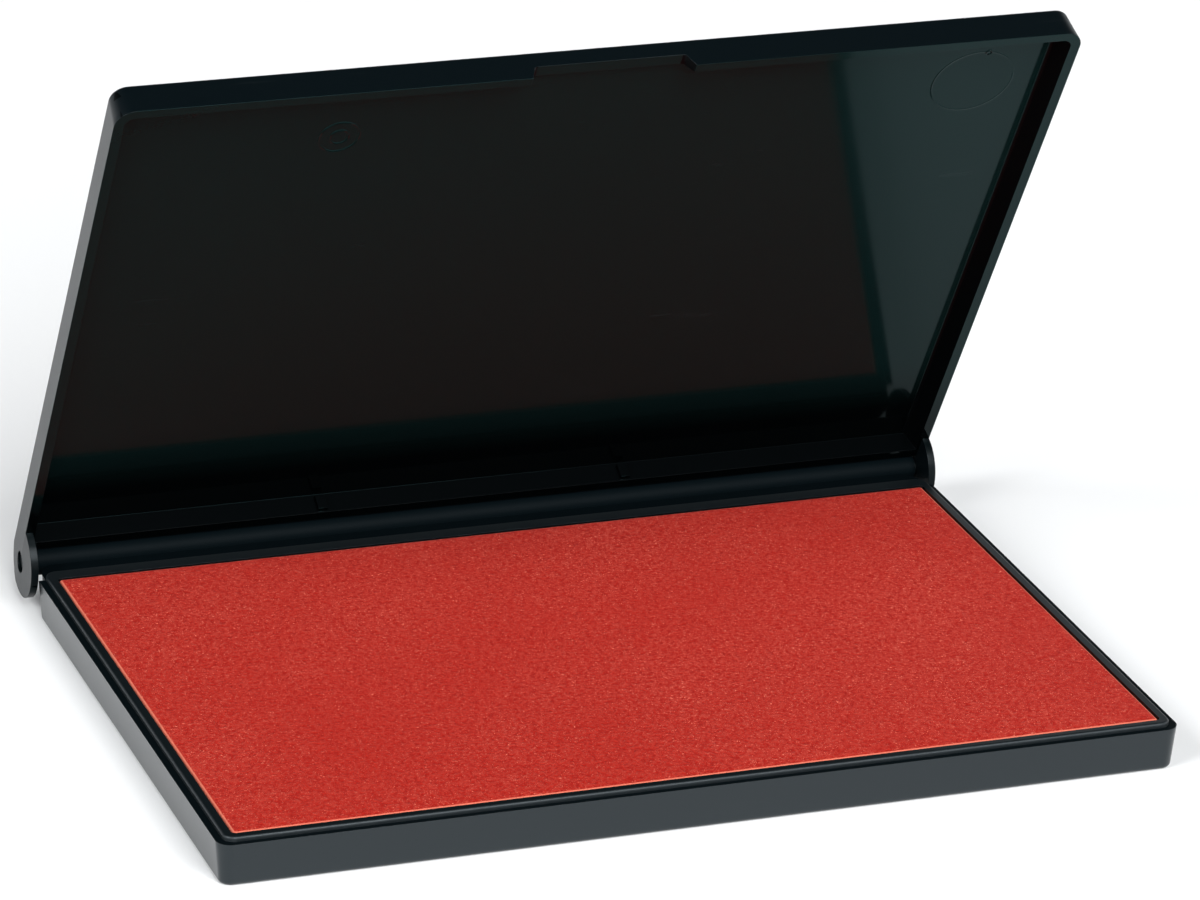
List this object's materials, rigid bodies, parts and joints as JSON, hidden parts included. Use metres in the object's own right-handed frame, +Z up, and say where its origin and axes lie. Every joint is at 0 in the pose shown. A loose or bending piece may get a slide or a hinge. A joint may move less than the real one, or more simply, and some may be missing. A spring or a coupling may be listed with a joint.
{
  "type": "ink pad",
  "caption": "Shallow rectangular ink pad for rubber stamps: a cloth-covered felt pad in a moulded tray, with a hinged lid standing open over it.",
  "frame": {"origin": "centre of the tray's flat underside", "axes": "+X along the length, -Y towards the user, +Y towards the hinge, +Z up"},
  "size_m": [0.1156, 0.0837, 0.0769],
  "materials": {
    "tray_plastic": "satin-gloss moulded black",
    "lid_plastic": "gloss moulded black",
    "pin_plastic": "satin black",
    "adhesive": "tacky, slightly yellow",
    "board": "pressed card",
    "inked_felt": "wet wool felt",
    "inked_cloth": "short-napped cloth soaked with red ink"
  },
  "bodies": {
    "base": {"base_tray": "tray_plastic", "hinge_pin_left": "pin_plastic", "hinge_pin_right": "pin_plastic", "adhesive_sheet": "adhesive", "backing_board": "board", "reservoir_felt": "inked_felt", "top_felt": "inked_felt", "cover_cloth": "inked_cloth"},
    "lid": {"lid": "lid_plastic"}
  },
  "joints": [
    {"name": "lid_hinge", "type": "hinge", "parent": "base", "child": "lid", "pos_m": [0, 0.03895, 0.0052], "axis": [-1, 0, 0], "range_deg": [-60.5, 119.5]}
  ]
}
